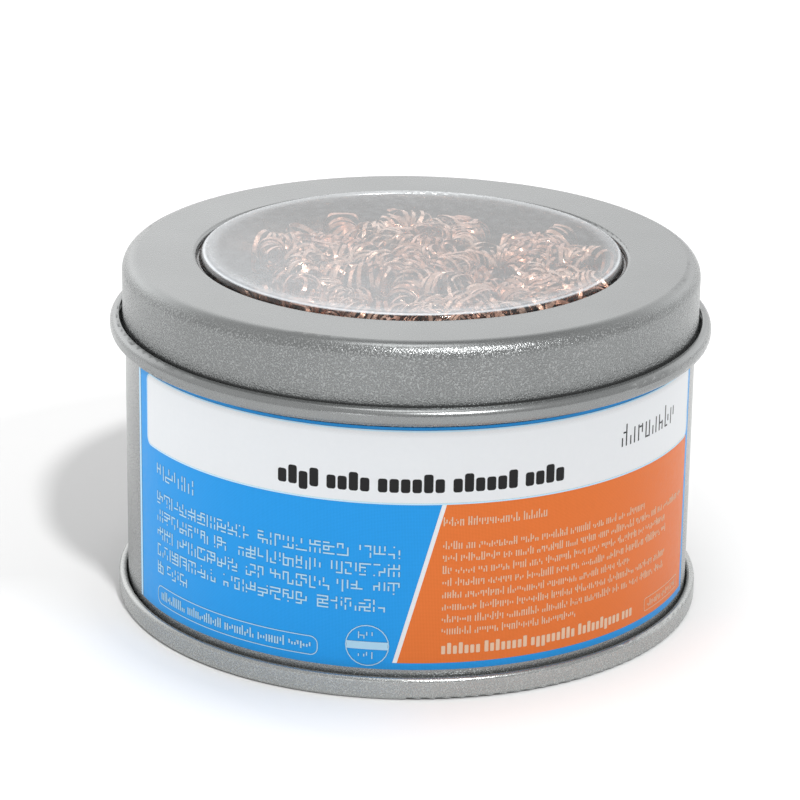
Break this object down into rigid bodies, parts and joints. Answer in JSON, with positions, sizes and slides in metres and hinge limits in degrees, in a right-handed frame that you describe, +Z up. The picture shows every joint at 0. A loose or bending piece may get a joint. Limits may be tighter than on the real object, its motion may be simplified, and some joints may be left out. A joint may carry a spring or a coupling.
{
  "type": "soldering tip cleaning wool tin",
  "caption": "Round slip-lid tin with a clear window in its lid and a wrap label, holding curled copper-coloured ribbon that wipes solder off iron tips.",
  "frame": {"origin": "middle of the ring the tin stands on, at the surface it stands on", "axes": "+Z up along the tin's axis, -Y through the middle of the front where the label faces, +X to the right of the label"},
  "size_m": [0.0772, 0.0772, 0.0462],
  "materials": {
    "body_tinplate": "satin",
    "base_tinplate": "satin",
    "lid_tinplate": "satin",
    "label_print": "satin",
    "window_film": "gloss",
    "adhesive": "matte",
    "curled_ribbon": "satin"
  },
  "bodies": {
    "tin": {"body_wall": "body_tinplate", "base_end": "base_tinplate", "label": "label_print"},
    "lid": {"lid_shell": "lid_tinplate", "window": "window_film", "window_adhesive": "adhesive"},
    "wool": {"wool_bottom_core": "curled_ribbon", "wool_bottom_middle": "curled_ribbon", "wool_bottom_outer": "curled_ribbon", "wool_lower_core": "curled_ribbon", "wool_lower_middle": "curled_ribbon", "wool_lower_outer": "curled_ribbon", "wool_upper_core": "curled_ribbon", "wool_upper_middle": "curled_ribbon", "wool_upper_outer": "curled_ribbon"},
    "wool_crown": {"wool_tuft_middle": "curled_ribbon", "wool_tuft_back": "curled_ribbon", "wool_tuft_left": "curled_ribbon", "wool_tuft_front": "curled_ribbon", "wool_tuft_right": "curled_ribbon", "wool_tuft_back_right": "curled_ribbon", "wool_tuft_front_left": "curled_ribbon"}
  },
  "joints": [
    {"name": "lid_lift", "type": "slide", "parent": "tin", "child": "lid", "axis": [0, 0, 1], "range_m": [0, 0.06]},
    {"name": "wool_turn", "type": "hinge", "parent": "tin", "child": "wool", "pos_m": [0, 0, 0.0028], "axis": [0, 0, 1], "continuous": true},
    {"name": "wool_press", "type": "slide", "parent": "wool", "child": "wool_crown", "axis": [0, 0, 1], "range_m": [-0.006, 0], "stiffness_N_per_m": 500, "deforming": ["wool_tuft_middle", "wool_tuft_back", "wool_tuft_left", "wool_tuft_front", "wool_tuft_right", "wool_tuft_back_right", "wool_tuft_front_left"]}
  ]
}
